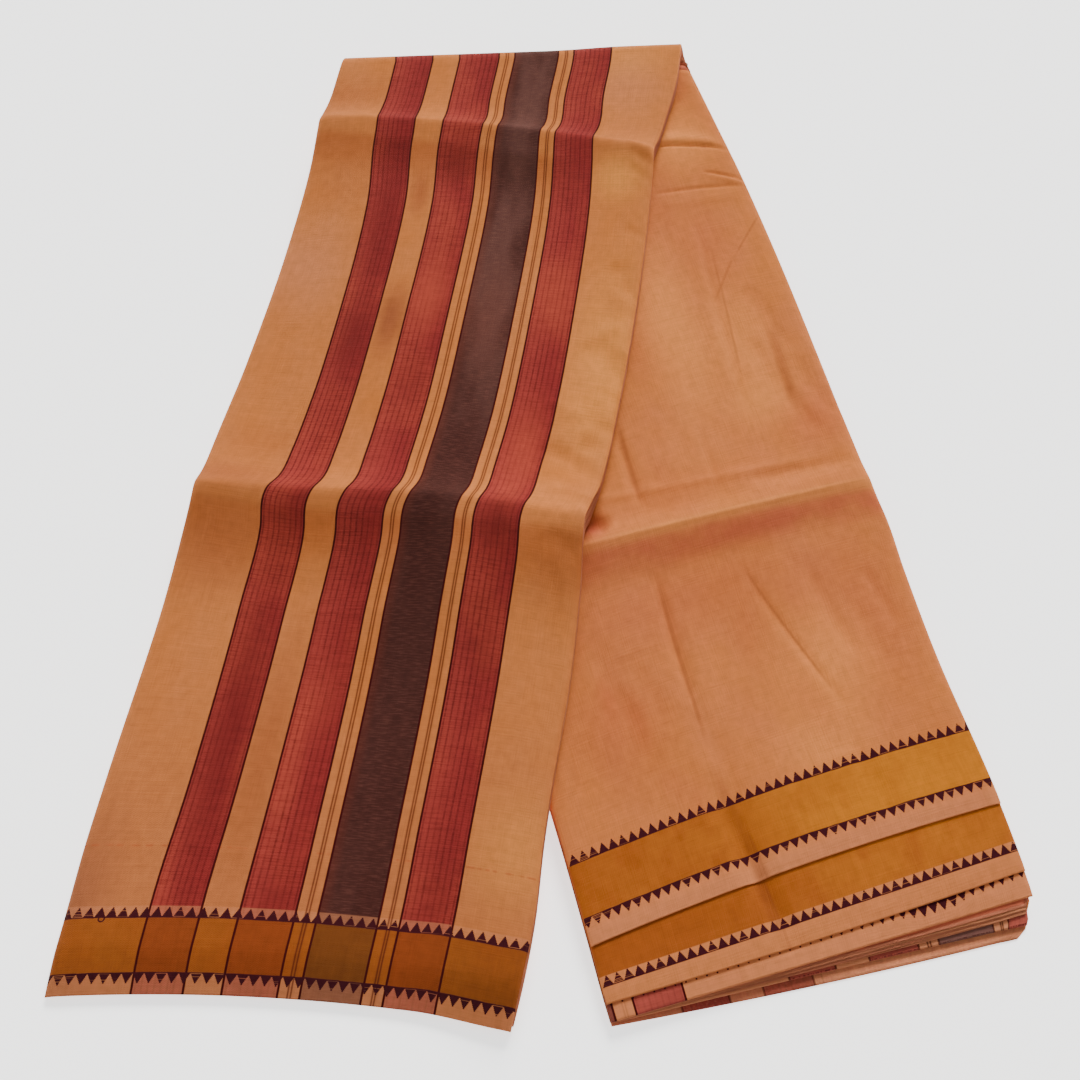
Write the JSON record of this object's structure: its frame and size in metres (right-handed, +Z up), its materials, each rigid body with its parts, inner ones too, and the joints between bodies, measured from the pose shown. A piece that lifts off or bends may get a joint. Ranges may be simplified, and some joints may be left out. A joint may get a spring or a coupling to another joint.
{
  "type": "folded dhoti cloth",
  "caption": "Handloom cotton dhoti folded for the shelf: a long striped and bordered cloth pleated into a flat band and folded across into two spread legs.",
  "frame": {"origin": "on the surface the cloth lies on, below the middle of its bounding box", "axes": "+Z up from the surface, +Y from the hems of the two legs towards the fold that joins them, +X towards the plain lower leg"},
  "size_m": [0.488, 0.652, 0.0468],
  "materials": {
    "striped_cotton": "matte handloom cotton, red and brown stripes on tan",
    "plain_cotton": "matte handloom cotton, peach tan with a mustard border",
    "layer_edges": "matte cotton edges of the pressed layers"
  },
  "bodies": {
    "root": {"pallu_stretch": "striped_cotton", "upper_face_stretch": "plain_cotton", "reverse_border_stretch": "plain_cotton", "margin_stretch": "plain_cotton", "stripe_end_stretch": "striped_cotton", "hidden_layers": "layer_edges"}
  },
  "joints": []
}
